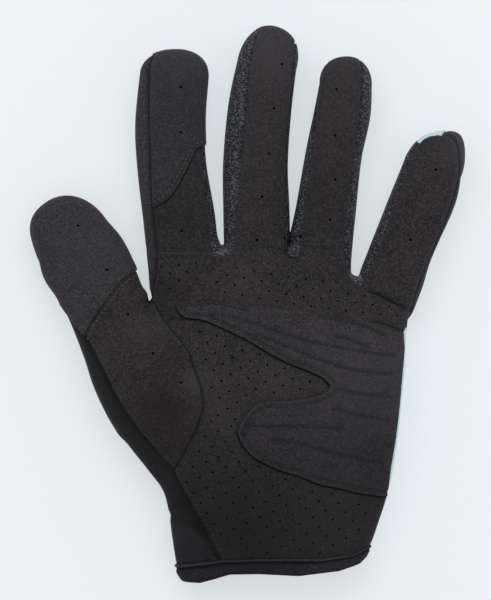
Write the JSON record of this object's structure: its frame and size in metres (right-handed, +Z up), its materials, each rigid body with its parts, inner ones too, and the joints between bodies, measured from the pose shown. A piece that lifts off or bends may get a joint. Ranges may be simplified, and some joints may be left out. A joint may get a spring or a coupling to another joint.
{
  "type": "full-finger cycling glove",
  "caption": "Full-finger cycling glove for the left hand, lying palm up: perforated suede palm with a quilted patch, mesh finger walls, stretch back and a bound cuff.",
  "frame": {"origin": "on the surface that the glove lies on, under the middle of its outline", "axes": "+X away from the thumb, +Y towards the fingertips, +Z up out of the palm"},
  "size_m": [0.174, 0.2224, 0.0268],
  "materials": {
    "suede": "black perforated synthetic suede, matt with a short nap",
    "cap_suede": "black synthetic suede without perforations",
    "patch_suede": "quilted black suede overlay with dashed stitching",
    "mesh": "black knitted mesh with small light flecks",
    "side_fabric": "smooth black knitted fabric",
    "stretch_fabric": "dark slate stretch fabric with a faint sheen",
    "back_fabric": "pale mint stretch knit",
    "binding": "dark navy-black folded binding"
  },
  "bodies": {
    "root": {"palm_panel": "suede", "index_palm_panel": "suede", "index_tip_cap": "cap_suede", "thumb_palm_panel": "suede", "thumb_tip_cap": "cap_suede", "palm_patch": "patch_suede", "index_side_strip": "side_fabric", "fourchette_index_middle": "mesh", "fourchette_middle_ring": "mesh", "fourchette_ring_little": "mesh", "little_side_panel": "side_fabric", "thumb_back_panel": "stretch_fabric", "back_panel": "back_fabric", "cuff_binding": "binding"}
  },
  "joints": []
}
